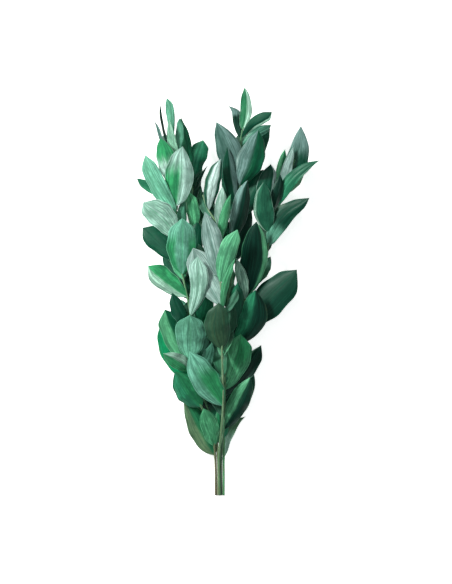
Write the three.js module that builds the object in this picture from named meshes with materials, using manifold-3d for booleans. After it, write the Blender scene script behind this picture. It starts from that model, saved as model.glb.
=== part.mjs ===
// A bunch of five dried ruscus stems lying on a surface, cut ends towards -Y, tips towards +Y.
// Each leafy stem is one closed solid: a tapered stem with its leaves fused to it.
// All sizes are in millimetres. +Z is up, and z = 0 is the surface that the bunch lies on.

import * as THREE from "three";
import { mergeVertices } from "three/addons/utils/BufferGeometryUtils.js";
import Module from "manifold-3d";

const wasm = await Module();
wasm.setup();

// ---- driving dimensions -------------------------------------------------------------------

const STEM_RADIUS_FOOT = 1.6;
const STEM_RADIUS_TIP = 0.9;
const STEM_SIDES = 5;
const STEM_LONGEST_STEP = 22;

const BLADE_THICKNESS = 0.8;
const PETIOLE_THICKNESS = 1.5;
const BLADE_ROWS = [0, 0.09, 0.22, 0.4, 0.58, 0.75, 0.89, 1];
const BLADE_COLUMNS = [-1, 0, 1];
const BASE_POWER = 0.66;

const CLEARANCE = 0.35;
const SHORTEST_EDGE = 0.004;
const SINK_FRACTION = 0.16;
const GOLDEN_ANGLE = 137.508;

const CENTRE_X = 10;
const CENTRE_Y = 306.88;

// ---- the five stems -----------------------------------------------------------------------
// route: [y, x, z] of the stem's axis.
// leaves: [y on the stem, tip x, tip y, width, rise of the tip, roll, fold], and where a leaf curves
// to one side, that curve as a share of its length, and where its tip is blunter or finer than the
// draw gives, the power of its taper. Roll and fold are in degrees.
// rear: the rule for the leaves underneath, [first y, last y, step, largest angle to the side].
// props: leaves that spread on the surface and carry the bunch, in the same form as leaves.

const STEMS = [
  {
    name: "stem_left",
    seed: 11,
    colour: 0x2f7a5a,
    route: [
      [0, -6.2, 1.6], [60, -7.4, 10.5], [108, -13.5, 27], [136, -28.5, 40], [160, -40.5, 49],
      [188, -45, 56], [228, -43.5, 62], [278, -45, 66], [310, -51, 67], [344, -58.5, 66],
      [378, -63, 65], [438, -66, 64], [506, -64.5, 66], [536, -69, 69], [554, -75, 72],
    ],
    leaves: [
      [435, -58, 525, 44, 34, -6, 16, -0.01, 0.8],
      [333, -54, 417, 46, 34, 4, 18, -0.01],
      [271, -35, 361, 29, 34, -8, 14, 0.088, 0.3],
      [206, -45, 273, 46, 34, 2, 14, 0.01, 0.5],
      [190, -83, 281, 39, 20, 10, 16, 0.01, 0.45],
      [172, -87, 262, 38, 10, -8, 14, -0.065],
      [134, -66, 190, 36, 26, -10, 14, -0.05],
      [60, -53, 146, 37, 20, 8, 20, -0.01, 0.9],
      [74, -25, 132, 28, 34, 6, 18, 0.03],
      [388, -116, 440, 41, 16, -10, 14, 0.07, 0.4],
      [300, -108, 345, 33, 12, -6, 16, -0.02, 0.38],
      [190, -85, 215, 25, 30, -16, 20, 0.03],
      [423, -114, 511, 29, 10, -14, 18, -0.03, 0.45],
      [462, -89, 538, 30, 12, -10, 16, -0.01],
      [508, -76, 564, 13, 18, -12, 14, -0.04, 0.8],
      [514, -61, 568, 13, 10, -4, 14, 0.04],
      [540, -77, 598, 13, 6, 0, 12, 0, 0.36],
      [326, -82, 399, 30, -12, -18, 20, 0.02],
      [442, -126, 476, 20, -10, 20, 18, 0.04],
      [352, -114, 406, 34, -14, 6, 14, 0, 0.3],
      [386, -54, 447, 18, -4, 14, 18],
      [250, -72, 306, 24, -10, 18, 16],
      [506, -90, 590, 8, -4, 40, 12, -0.09],
      [490, -97, 567, 6, -10, 40, 12, -0.065],
    ],
    props: [
      [296, -86, 374, 30, -78, 0, 10, 0.02],
    ],
    rear: [156, 500, 34, 45],
  },
  {
    name: "stem_left_rear",
    seed: 23,
    colour: 0x24664c,
    route: [
      [0, -2.4, 1.6], [60, -3.4, 8.5], [100, -7.5, 16], [138, -21, 23], [176, -34.5, 29],
      [220, -40.5, 33], [273, -43.5, 36], [318, -45, 38], [352, -46.5, 38], [393, -39, 38],
      [430, -37.5, 38], [468, -42, 40], [498, -45, 44],
    ],
    leaves: [
      [230, -18, 314, 27, 30, 6, 16, 0.04],
      [400, -46, 458, 21, 26, -10, 14],
      [474, -26, 536, 28, 8, 8, 18, -0.02, 0.35],
      [494, -60, 569, 21.5, 4, 16, 16, -0.01],
      [428, -19, 498, 7, -2, 20, 14, -0.1],
      [388, -32, 448, 19, 6, 24, 16, -0.03],
      [442, -28, 502, 14, -12, 24, 16, -0.03],
      [182, -20, 240, 20, 28, 10, 18],
      [166, -10, 231, 20, 38, 6, 16],
      [270, -24, 352, 24, 12, 8, 16],
      [338, -31, 414, 24, 8, 8, 16],
    ],
    props: [
      [352, -100, 428, 30, -48, 0, 10, 0.02],
      [236, -70, 300, 30, -44, 0, 10],
    ],
    rear: [124, 464, 34, 40],
  },
  {
    name: "stem_middle_left",
    seed: 37,
    colour: 0x3c8268,
    route: [
      [0, -0.5, 4.95], [60, -1.3, 15.5], [138, 4.5, 44], [220, 3, 76], [296, 3, 84],
      [330, 0, 84], [370, -1.5, 82], [402, 0, 80], [422, -12, 80], [434, -19.5, 80],
      [452, -25.5, 82],
    ],
    leaves: [
      [136, -44, 218, 42, 44, -8, 14, -0.035],
      [327, -22, 426, 32, 26, -8, 14, 0],
      [286, -42, 372, 40, 16, -6, 14, -0.02, 0.4],
      [321, 26, 400, 28, 24, 8, 16, -0.03, 0.5],
      [222, -2, 291, 40, 18, 4, 16, -0.08, 0.6],
      [402, 4, 464, 18, 24, -4, 12],
      [429, 0, 506, 24, 16, 6, 20, -0.03],
      [381, 15, 453, 15, 8, 16, 18],
      [278, 22, 358, 12, 8, 20, 18, -0.06],
      [418, -22, 457, 11, 2, 10, 16],
    ],
    props: [],
    rear: [120, 430, 30, 60],
  },
  {
    name: "stem_centre",
    seed: 53,
    colour: 0x3a7468,
    route: [
      [0, 1.4, 1.6], [60, 1.8, 12], [116, 6, 24], [250, 9, 50], [296, 12, 56],
      [333, 18, 60], [370, 15, 62], [423, 22.5, 62], [470, 30, 62], [525, 31.5, 64],
      [538, 31.5, 65], [554, 34.5, 66],
    ],
    leaves: [
      [464, -4, 561, 38, 26, -8, 16, 0.03, 0.75],
      [474, 43, 533, 17, 32, 10, 14, -0.05],
      [384, 39, 474, 33, 34, -2, 38],
      [466, 57, 548, 37, 30, 8, 16, 0.06],
      [243, 27, 322, 24, 24, 12, 16, 0.08],
      [549, 37, 614, 18.5, 4, -6, 14, 0.06],
      [537, 22, 588, 15, 0, 14, 20, -0.01, 0.45],
      [537, 80, 574, 18, 8, 10, 18, -0.11, 0.35],
      [524, 78, 556, 16, -2, 16, 16, -0.06, 0.4],
      [496, 73, 554, 22, -14, 16, 16, 0.07],
      [436, 12, 524, 21, 4, 20, 18],
      [424, 6, 496, 20, -6, 22, 16],
      [352, 45, 438, 36, -10, 10, 16],
      [418, 64, 492, 34, -8, 12, 16, 0.03],
      [346, 8, 418, 24, 2, 0, 16, 0],
      [72, -6, 148, 16, -4, -10, 14, -0.05],
    ],
    props: [],
    rear: [154, 506, 32, 40],
  },
  {
    name: "stem_right",
    seed: 71,
    colour: 0x1f5a48,
    route: [
      [0, 5.2, 1.6], [60, 5.6, 9], [159, 7.5, 26], [190, 15, 32], [236, 27, 40],
      [280, 34.5, 46], [300, 39, 48], [318, 48, 50], [348, 63, 52], [374, 72, 53],
      [423, 75, 54], [438, 85.5, 54], [468, 97.5, 56], [506, 112.5, 60],
    ],
    leaves: [
      [300, 53, 412, 43, 36, 8, 22, 0.05],
      [228, 54, 310, 41, 34, 8, 16, 0.12, 0.6],
      [159, 33, 243, 38, 40, 4, 16, 0.05, 0.38],
      [252, 117, 339, 52, 20, -8, 16, -0.01],
      [376, 135, 447, 31, 20, -6, 16, -0.13],
      [396, 65, 472, 31, 24, 0, 16, -0.06],
      [100, 47, 178, 34, 26, 6, 24, 0.02],
      [436, 146, 506, 20, 20, -10, 14, -0.105, 0.8],
      [466, 122, 556, 34, 14, -4, 16, 0.065, 0.88],
      [446, 110, 525, 16, 16, -2, 16],
      [152, 64, 226, 27, 8, -6, 18],
      [56, 34, 121, 15, 10, 12, 16, -0.1],
      [296, 24, 358, 18, 16, -8, 16],
      [422, 79, 499, 29, 6, 12, 16, -0.1, 0.5],
      [480, 131, 529, 18, -4, 12, 16, 0],
      [452, 97, 522, 18, -6, 16, 16],
      [426, 92, 483, 18, -10, 22, 16],
      [106, 51, 190, 36, -6, 14, 16, 0.03],
    ],
    props: [
      [366, 98, 440, 24, -60, 0, 10, -0.1],
      [250, 96, 322, 34, -50, 0, 10, 0.02],
    ],
    rear: [148, 460, 34, 30],
  },
];

// ---- small helpers ------------------------------------------------------------------------

function seededRandom(seed) {
  let state = seed >>> 0;
  return function () {
    state = (state + 0x6d2b79f5) >>> 0;
    let t = state;
    t = Math.imul(t ^ (t >>> 15), t | 1);
    t ^= t + Math.imul(t ^ (t >>> 7), t | 61);
    return ((t ^ (t >>> 14)) >>> 0) / 4294967296;
  };
}

const radians = (degrees) => degrees * Math.PI / 180;
const add = (a, b) => [a[0] + b[0], a[1] + b[1], a[2] + b[2]];
const sub = (a, b) => [a[0] - b[0], a[1] - b[1], a[2] - b[2]];
const scale = (a, k) => [a[0] * k, a[1] * k, a[2] * k];
const dot = (a, b) => a[0] * b[0] + a[1] * b[1] + a[2] * b[2];
const length = (a) => Math.sqrt(dot(a, a));
const unit = (a) => scale(a, 1 / length(a));

function cross(a, b) {
  return [
    a[1] * b[2] - a[2] * b[1],
    a[2] * b[0] - a[0] * b[2],
    a[0] * b[1] - a[1] * b[0],
  ];
}

// ---- stem ---------------------------------------------------------------------------------

function routeSlope(route, i, column) {
  const before = route[Math.max(i - 1, 0)];
  const after = route[Math.min(i + 1, route.length - 1)];
  return (after[column] - before[column]) / (after[0] - before[0]);
}

function routeValue(route, y, column) {
  let i = 0;
  while (i < route.length - 2 && route[i + 1][0] < y) {
    i += 1;
  }
  const span = route[i + 1][0] - route[i][0];
  const t = (y - route[i][0]) / span;
  const a = route[i][column];
  const b = route[i + 1][column];
  const slopeA = routeSlope(route, i, column) * span;
  const slopeB = routeSlope(route, i + 1, column) * span;
  const h00 = (1 + 2 * t) * (1 - t) * (1 - t);
  const h10 = t * (1 - t) * (1 - t);
  const h01 = t * t * (3 - 2 * t);
  const h11 = t * t * (t - 1);
  return h00 * a + h10 * slopeA + h01 * b + h11 * slopeB;
}

function axisPoint(stem, y) {
  return [routeValue(stem.route, y, 1), y, routeValue(stem.route, y, 2)];
}

function axisDirection(stem, y) {
  const last = stem.route[stem.route.length - 1][0];
  const low = Math.max(y - 3, 0);
  const high = Math.min(y + 3, last);
  return unit(sub(axisPoint(stem, high), axisPoint(stem, low)));
}

function stemRadius(stem, y) {
  const last = stem.route[stem.route.length - 1][0];
  return STEM_RADIUS_FOOT + (STEM_RADIUS_TIP - STEM_RADIUS_FOOT) * y / last;
}

// Rings stand at every row of the route, and between rows that are far apart.
function ringHeights(stem) {
  const heights = [0];
  for (const [y] of stem.route.slice(1)) {
    const from = heights[heights.length - 1];
    const parts = Math.ceil((y - from) / STEM_LONGEST_STEP);
    for (let part = 1; part <= parts; part += 1) {
      heights.push(from + (y - from) * part / parts);
    }
  }
  return heights;
}

function stemSolid(stem) {
  const heights = ringHeights(stem);
  const steps = heights.length - 1;
  const points = [];
  for (const y of heights) {
    const centre = axisPoint(stem, y);
    const along = axisDirection(stem, y);
    const side = unit(cross(along, [0, 0, 1]));
    const up = cross(side, along);
    const radius = stemRadius(stem, y);
    for (let k = 0; k < STEM_SIDES; k += 1) {
      const angle = 2 * Math.PI * (k + 0.5) / STEM_SIDES;
      const offset = add(scale(side, radius * Math.cos(angle)), scale(up, radius * Math.sin(angle)));
      points.push(add(centre, offset));
    }
  }
  const triangles = [];
  for (let i = 0; i < steps; i += 1) {
    for (let k = 0; k < STEM_SIDES; k += 1) {
      const next = (k + 1) % STEM_SIDES;
      const a = i * STEM_SIDES + k;
      const b = i * STEM_SIDES + next;
      const c = a + STEM_SIDES;
      const d = b + STEM_SIDES;
      triangles.push([a, c, b], [b, c, d]);
    }
  }
  const end = steps * STEM_SIDES;
  for (let k = 1; k < STEM_SIDES - 1; k += 1) {
    triangles.push([0, k, k + 1], [end, end + k + 1, end + k]);
  }
  return solidFrom(points, triangles);
}

// ---- leaf blade ---------------------------------------------------------------------------

function outlineAt(u, taper) {
  if (u <= 0 || u >= 1) {
    return 0;
  }
  const widest = BASE_POWER / (BASE_POWER + taper);
  return Math.pow(u / widest, BASE_POWER) * Math.pow((1 - u) / (1 - widest), taper);
}

function thicknessAt(u) {
  const thin = Math.min(u / SINK_FRACTION, 1);
  return PETIOLE_THICKNESS + (BLADE_THICKNESS - PETIOLE_THICKNESS) * thin;
}

// The leaf's mid surface: u runs from the stem to the tip, v from the left edge to the right.
function bladePoint(leaf, u, v, spread) {
  const chord = sub(leaf.tip, leaf.base);
  const size = length(chord);
  const along = scale(chord, 1 / size);
  const face = unit(sub(leaf.face, scale(along, dot(leaf.face, along))));
  const side = cross(along, face);
  const roll = radians(leaf.roll + leaf.twist * (u - 0.5));
  const normal = add(scale(face, Math.cos(roll)), scale(side, Math.sin(roll)));
  const across = sub(scale(side, Math.cos(roll)), scale(face, Math.sin(roll)));
  const swell = Math.sin(Math.PI * u);
  const half = leaf.width / 2 * outlineAt(u, leaf.taper) + spread;
  const fold = radians(leaf.fold);
  const wave = leaf.wave * v * Math.sin(2 * Math.PI * u + leaf.phase) * swell;
  let point = add(leaf.base, scale(chord, u));
  point = add(point, scale(face, leaf.arch * size * swell));
  point = add(point, scale(across, leaf.sweep * size * swell + v * half * Math.cos(fold)));
  point = add(point, scale(normal, wave - Math.pow(Math.abs(v), 1.5) * half * Math.sin(fold)));
  point[2] = Math.max(point[2], BLADE_THICKNESS / 2 + Math.max(spread, 0));
  return point;
}

function bladeNormal(grid, i, j) {
  const row = Math.min(Math.max(i, 1), grid.length - 2);
  const columns = grid[0].length - 1;
  const left = grid[row][Math.max(j - 1, 0)];
  const right = grid[row][Math.min(j + 1, columns)];
  return unit(cross(sub(right, left), sub(grid[row + 1][j], grid[row - 1][j])));
}

// A blade from row `first` on, thickened by `margin` on every side. Its first and last rows are
// single points on each face, and the rows between them have a left edge, a midrib and a right edge.
function bladeSolid(leaf, first, margin) {
  const grid = BLADE_ROWS.map((u) => BLADE_COLUMNS.map((v) => bladePoint(leaf, u, v, margin)));
  const last = BLADE_ROWS.length - 1;
  const points = [];
  const place = [];
  for (let i = first; i <= last; i += 1) {
    const reach = thicknessAt(BLADE_ROWS[i]) / 2 + margin;
    const pointed = i === first || i === last;
    for (const j of pointed ? [1] : [0, 1, 2]) {
      const offset = scale(bladeNormal(grid, i, j), reach);
      place.push([i, j, points.length]);
      points.push(add(grid[i][j], offset), sub(grid[i][j], offset));
    }
  }
  const top = (i, j) => place.find((entry) => entry[0] === i && entry[1] === j)[2];
  const triangles = [];
  const face = (a, b, c) => {
    triangles.push([a, b, c], [a + 1, c + 1, b + 1]);
  };
  const edge = (a, b) => {
    triangles.push([a, b, a + 1], [b, b + 1, a + 1]);
  };
  const root = top(first, 1);
  const tip = top(last, 1);
  face(root, top(first + 1, 1), top(first + 1, 0));
  face(root, top(first + 1, 2), top(first + 1, 1));
  face(tip, top(last - 1, 0), top(last - 1, 1));
  face(tip, top(last - 1, 1), top(last - 1, 2));
  edge(root, top(first + 1, 0));
  edge(top(first + 1, 2), root);
  edge(top(last - 1, 0), tip);
  edge(tip, top(last - 1, 2));
  for (let i = first + 1; i < last - 1; i += 1) {
    face(top(i, 0), top(i, 1), top(i + 1, 1));
    face(top(i, 0), top(i + 1, 1), top(i + 1, 0));
    face(top(i, 1), top(i, 2), top(i + 1, 1));
    face(top(i, 2), top(i + 1, 2), top(i + 1, 1));
    edge(top(i, 0), top(i + 1, 0));
    edge(top(i + 1, 2), top(i, 2));
  }
  return solidFrom(points, triangles);
}

// ---- solids and their tests ---------------------------------------------------------------

function solidFrom(points, triangles) {
  const mesh = new wasm.Mesh({
    numProp: 3,
    vertProperties: new Float32Array(points.flat()),
    triVerts: new Uint32Array(triangles.flat()),
  });
  return new wasm.Manifold(mesh);
}

function boxesMeet(a, b) {
  for (let k = 0; k < 3; k += 1) {
    if (a.max[k] < b.min[k] || b.max[k] < a.min[k]) {
      return false;
    }
  }
  return true;
}

function cuts(candidate, box, others) {
  for (const other of others) {
    if (!boxesMeet(box, other.box)) {
      continue;
    }
    const common = candidate.intersect(other.solid);
    const empty = common.isEmpty();
    common.delete();
    if (!empty) {
      return true;
    }
  }
  return false;
}

// ---- placing the leaves -------------------------------------------------------------------

// How far a leaf may be moved from its wished pose: [rise, roll, arch], the nearest first.
function posesByEffort() {
  const poses = [];
  for (let rise = -9; rise <= 9; rise += 1) {
    for (let roll = -2; roll <= 2; roll += 1) {
      for (let arch = -2; arch <= 2; arch += 1) {
        const effort = Math.abs(rise) + 1.3 * Math.abs(roll) + 1.1 * Math.abs(arch);
        poses.push({ rise: rise * 5, roll: roll * 11, arch: arch * 0.05, effort: effort });
      }
    }
  }
  poses.forEach((pose, index) => {
    pose.order = index;
  });
  return poses.sort((a, b) => a.effort - b.effort || a.order - b.order);
}

const POSES = posesByEffort();

function drawHabit(random) {
  return {
    arch: -0.03 + 0.1 * random(),
    sweep: -0.03 + 0.06 * random(),
    twist: -14 + 28 * random(),
    wave: 0.4 + 1.6 * random(),
    phase: 2 * Math.PI * random(),
    taper: 0.52 + 0.26 * random(),
  };
}

function frontLeaf(stem, row, random, lowest, highest) {
  const habit = drawHabit(random);
  const base = axisPoint(stem, row[0]);
  return {
    ...habit,
    sweep: row[7] ?? habit.sweep,
    taper: row[8] ?? habit.taper,
    base: base,
    tip: [row[1], row[2], base[2] + row[4]],
    width: row[3],
    roll: row[5],
    fold: row[6],
    face: [0, 0, 1],
    lowest: lowest,
    highest: highest,
  };
}

function rearLeaf(stem, index, y, random) {
  const habit = drawHabit(random);
  const limit = stem.rear[3];
  const turn = (index * GOLDEN_ANGLE + stem.seed * 7) % (2 * limit) - limit;
  const spread = radians(30 + 16 * random());
  const size = 50 + 20 * random();
  const base = axisPoint(stem, y);
  const radial = [Math.sin(radians(turn)), 0, -Math.cos(radians(turn))];
  const along = unit(add(scale(axisDirection(stem, y), Math.cos(spread)), scale(radial, Math.sin(spread))));
  return {
    ...habit,
    base: base,
    tip: add(base, scale(along, size)),
    width: size * (0.36 + 0.1 * random()),
    roll: -15 + 30 * random(),
    fold: 12 + 10 * random(),
    face: radial,
    lowest: -45,
    highest: 10,
  };
}

function posed(leaf, pose, shrink) {
  const tip = add(leaf.base, scale(sub(leaf.tip, leaf.base), shrink));
  return {
    ...leaf,
    tip: [tip[0], tip[1], tip[2] + pose.rise],
    width: leaf.width * shrink,
    roll: leaf.roll + pose.roll,
    arch: leaf.arch + pose.arch,
  };
}

function clears(leaf, stem, grown) {
  const whole = bladeSolid(leaf, 0, CLEARANCE);
  const wholeBox = whole.boundingBox();
  const others = grown.filter((item) => item.stem !== stem.name);
  let blocked = cuts(whole, wholeBox, others);
  whole.delete();
  if (blocked) {
    return false;
  }
  const own = grown.filter((item) => item.stem === stem.name);
  for (const [first, items] of [[1, own.slice(1)], [2, own.slice(0, 1)]]) {
    const outer = bladeSolid(leaf, first, CLEARANCE);
    blocked = blocked || cuts(outer, outer.boundingBox(), items);
    outer.delete();
  }
  return !blocked;
}

const SHRINKS = [1, 0.88, 0.76];

function growLeaf(leaf, stem, grown) {
  for (const shrink of SHRINKS) {
    for (const pose of POSES) {
      if (pose.rise < leaf.lowest || pose.rise > leaf.highest) {
        continue;
      }
      const candidate = posed(leaf, pose, shrink);
      if (clears(candidate, stem, grown)) {
        const solid = bladeSolid(candidate, 0, 0);
        grown.push({ stem: stem.name, solid: solid, box: solid.boundingBox() });
        return true;
      }
    }
  }
  return false;
}

function growAll() {
  const grown = [];
  const randoms = new Map();
  for (const stem of STEMS) {
    const solid = stemSolid(stem);
    grown.push({ stem: stem.name, solid: solid, box: solid.boundingBox() });
    randoms.set(stem.name, seededRandom(stem.seed));
  }
  const longest = Math.max(...STEMS.map((stem) => stem.leaves.length));
  for (const stem of STEMS) {
    for (const row of stem.props) {
      growLeaf(frontLeaf(stem, row, randoms.get(stem.name), -40, 0), stem, grown);
    }
  }
  for (let i = 0; i < longest; i += 1) {
    for (const stem of STEMS) {
      if (i < stem.leaves.length) {
        growLeaf(frontLeaf(stem, stem.leaves[i], randoms.get(stem.name), -30, 35), stem, grown);
      }
    }
  }
  for (const stem of STEMS) {
    const [first, last, step] = stem.rear;
    for (let i = 0; first + i * step <= last; i += 1) {
      growLeaf(rearLeaf(stem, i, first + i * step, randoms.get(stem.name)), stem, grown);
    }
  }
  return grown;
}

// ---- meshes -------------------------------------------------------------------------------

function stemMesh(stem, grown) {
  const own = grown.filter((item) => item.stem === stem.name);
  let whole = own[0].solid;
  for (const item of own.slice(1)) {
    whole = whole.add(item.solid);
  }
  const mesh = whole.asOriginal().simplify(SHORTEST_EDGE).getMesh();
  let geometry = new THREE.BufferGeometry();
  geometry.setAttribute("position", new THREE.BufferAttribute(new Float32Array(mesh.vertProperties), 3));
  geometry.setIndex(new THREE.BufferAttribute(new Uint32Array(mesh.triVerts), 1));
  geometry = mergeVertices(geometry, 1e-4);
  geometry.translate(-CENTRE_X, -CENTRE_Y, 0);
  geometry.computeVertexNormals();
  const material = new THREE.MeshStandardMaterial({ color: stem.colour, roughness: 0.5, metalness: 0 });
  const node = new THREE.Mesh(geometry, material);
  node.name = stem.name;
  return node;
}

function buildBunch() {
  const grown = growAll();
  const bunch = new THREE.Group();
  bunch.name = "dried_ruscus_stems";
  for (const stem of STEMS) {
    bunch.add(stemMesh(stem, grown));
  }
  return bunch;
}

export default buildBunch();
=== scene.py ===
"""A bunch of five dried ruscus stems, laid out as an add-on and run as a script.

The frame holds each stem, with its leaves, as one plain solid. The script finds where the solid
carries its leaves, grows a fine blade in the place of each one, and makes the ridged stem anew.
"""

import math
from functools import cache, reduce
from types import SimpleNamespace

import bpy
import numpy as np
from bpy.props import EnumProperty, FloatProperty, FloatVectorProperty, IntProperty, PointerProperty
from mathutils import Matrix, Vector
from mathutils.kdtree import KDTree


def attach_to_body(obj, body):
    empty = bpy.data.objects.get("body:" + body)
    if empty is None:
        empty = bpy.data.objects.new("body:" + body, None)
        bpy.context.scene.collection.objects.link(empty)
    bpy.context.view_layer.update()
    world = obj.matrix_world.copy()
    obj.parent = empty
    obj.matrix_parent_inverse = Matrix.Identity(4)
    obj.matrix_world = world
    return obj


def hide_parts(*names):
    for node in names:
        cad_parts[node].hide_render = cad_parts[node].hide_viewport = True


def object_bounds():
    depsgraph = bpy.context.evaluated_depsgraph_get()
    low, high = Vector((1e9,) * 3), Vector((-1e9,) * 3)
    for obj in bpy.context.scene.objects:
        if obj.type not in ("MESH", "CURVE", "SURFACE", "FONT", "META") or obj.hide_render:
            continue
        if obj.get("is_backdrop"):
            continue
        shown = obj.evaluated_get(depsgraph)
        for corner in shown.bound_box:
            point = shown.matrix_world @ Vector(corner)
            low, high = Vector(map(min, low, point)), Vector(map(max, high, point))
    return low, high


bl_info = {
    "name": "Dried Ruscus Bunch",
    "version": (1, 0, 0),
    "blender": (4, 5, 0),
    "location": "View3D > Sidebar > Ruscus",
    "description": "Grows the leaves and woody stems of a bunch of dried ruscus on a pale floor",
    "category": "Add Mesh",
}

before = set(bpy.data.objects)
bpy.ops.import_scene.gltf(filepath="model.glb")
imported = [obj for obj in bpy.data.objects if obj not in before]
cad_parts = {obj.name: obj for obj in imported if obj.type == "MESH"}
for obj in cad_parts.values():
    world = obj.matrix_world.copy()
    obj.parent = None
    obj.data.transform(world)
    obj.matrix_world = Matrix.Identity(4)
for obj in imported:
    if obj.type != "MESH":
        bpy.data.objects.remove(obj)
CAD_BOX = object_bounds()

# One millimetre in the metres of the frame.
MM = 0.001

# ---- dimensions that the solids share, in millimetres and degrees ----------------------------

# A stem thins from foot to tip. Its direction is measured this far to each side of a point.
STEM_RADIUS_FOOT = 1.6
STEM_RADIUS_TIP = 0.9
DIRECTION_REACH = 3

# A blade: its thickness, the power by which it widens from its base, the rows of its corners that
# lie clear of the stem, and the power by which its fold steepens toward the edge.
BLADE_THICKNESS = 0.8
BASE_POWER = 0.66
CLEAR_ROWS = [0.22, 0.4, 0.58, 0.75, 0.89]
SOLID_CUP = 1.5

# The middle of the bunch in the tables of the stems, which is the frame's origin.
CENTRE_X = 10
CENTRE_Y = 306.88

# How far a leaf may stand from its wished pose, what each step counts, and how far it may shrink.
RISE_STEP, RISE_STEPS = 5, 9
ROLL_STEP, ROLL_STEPS, ROLL_EFFORT = 11, 2, 1.3
ARCH_STEP, ARCH_STEPS, ARCH_EFFORT = 0.05, 2, 1.1
SHRINKS = [1, 0.88, 0.76]

# What a leaf draws for itself: each time the least value and the spread above it. arch and sweep
# are its bows, upward and sideways, as shares of its length. twist is its turn from base to tip.
# wave and phase are the height and the start of its waves, and taper is the power by which it
# narrows to the tip.
FULL_TURN = (0, 2 * math.pi)
HABITS = {
    "arch": (-0.03, 0.1),
    "sweep": (-0.03, 0.06),
    "twist": (-14, 28),
    "wave": (0.4, 1.6),
    "phase": FULL_TURN,
    "taper": (0.52, 0.26),
}

# A rear leaf: its angle to the stem, its length, its width as a share of that, its roll and fold.
# It turns around the stem by the golden angle from the one before, and all turn with the seed.
REAR_ANGLE = (30, 16)
REAR_LENGTH = (50, 20)
REAR_WIDTH_SHARE = (0.36, 0.1)
REAR_ROLL = (-15, 30)
REAR_FOLD = (12, 10)
GOLDEN_ANGLE = 137.508
SEED_ANGLE = 7

# ---- dyes, and the paler bloom and painted highlight over them -------------------------------


def linear(code):
    """Linear colour of a six digit colour code."""
    parts = [int(code[i : i + 2], 16) / 255 for i in (0, 2, 4)]
    return tuple(c / 12.92 if c <= 0.04045 else ((c + 0.055) / 1.055) ** 2.4 for c in parts)


# The darkest dyes stand partly for painted shade on leaves that lie deep in the bunch.
DYES = {
    "emerald": "0a8a57",
    "spring": "3aa669",
    "mint": "66b98e",
    "green": "2a8555",
    "pine": "10613f",
    "teal": "28674d",
    "sage": "5b8d62",
    "slate": "3f7a69",
    "steel": "587f76",
    "olive": "33523a",
    "bottle": "084a33",
    "forest": "073d2b",
    "night": "052a1f",
}
# Pale colours of the bloom over the dyes. The bloom is partly a painted highlight.
BLOOM_AND_HIGHLIGHT_COLOURS = {
    "fresh": "6cc892",
    "sea": "66aa90",
    "mist": "7fcdb0",
    "pale": "b2e4cb",
    "dew": "bfe9dc",
    "frost": "d0efe7",
    "lilac": "b3d0ca",
    "grey": "7a9f99",
    "moss": "2f8a63",
    "bark": "6d8f68",
}

# The look of the inner leaves, whose darkest dye is painted shade low between the stems, and the
# looks that the hidden ones take in turn.
INNER_SHADE_LOOK = "night moss base"
LOOK_STEP = 2
HIDDEN_LOOKS = [
    "bottle sea none",
    "pine sea tip",
    "teal sea even",
    "bottle fresh base",
    "pine fresh left",
]

# ---- the five stems, in millimetres and degrees ----------------------------------------------
# wood: the dyes of the stem at its foot and above it.
# route: (y, x, z) of the stem's axis, from the cut end to the tip.
# leaves: (y on the stem, tip x, tip y, width, rise of the tip, roll, fold, sweep or None, look), and
# where a tip is blunter or finer than the draw gives, the power of its taper.
# A look names the dye, the bloom over it and the part of the leaf that the bloom lies on. The
# bloom is partly a painted highlight, laid where each leaf catches the light, and the darkest
# dyes stand partly for painted shade.
# props: leaves that spread on the surface. rear: (first y, last y, step, largest angle).
# inner: leaves low between the stems, too crowded for the solids.
# hooks: how far the tip of a leaf turns to its side, by the leaf's place in the list.

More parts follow.
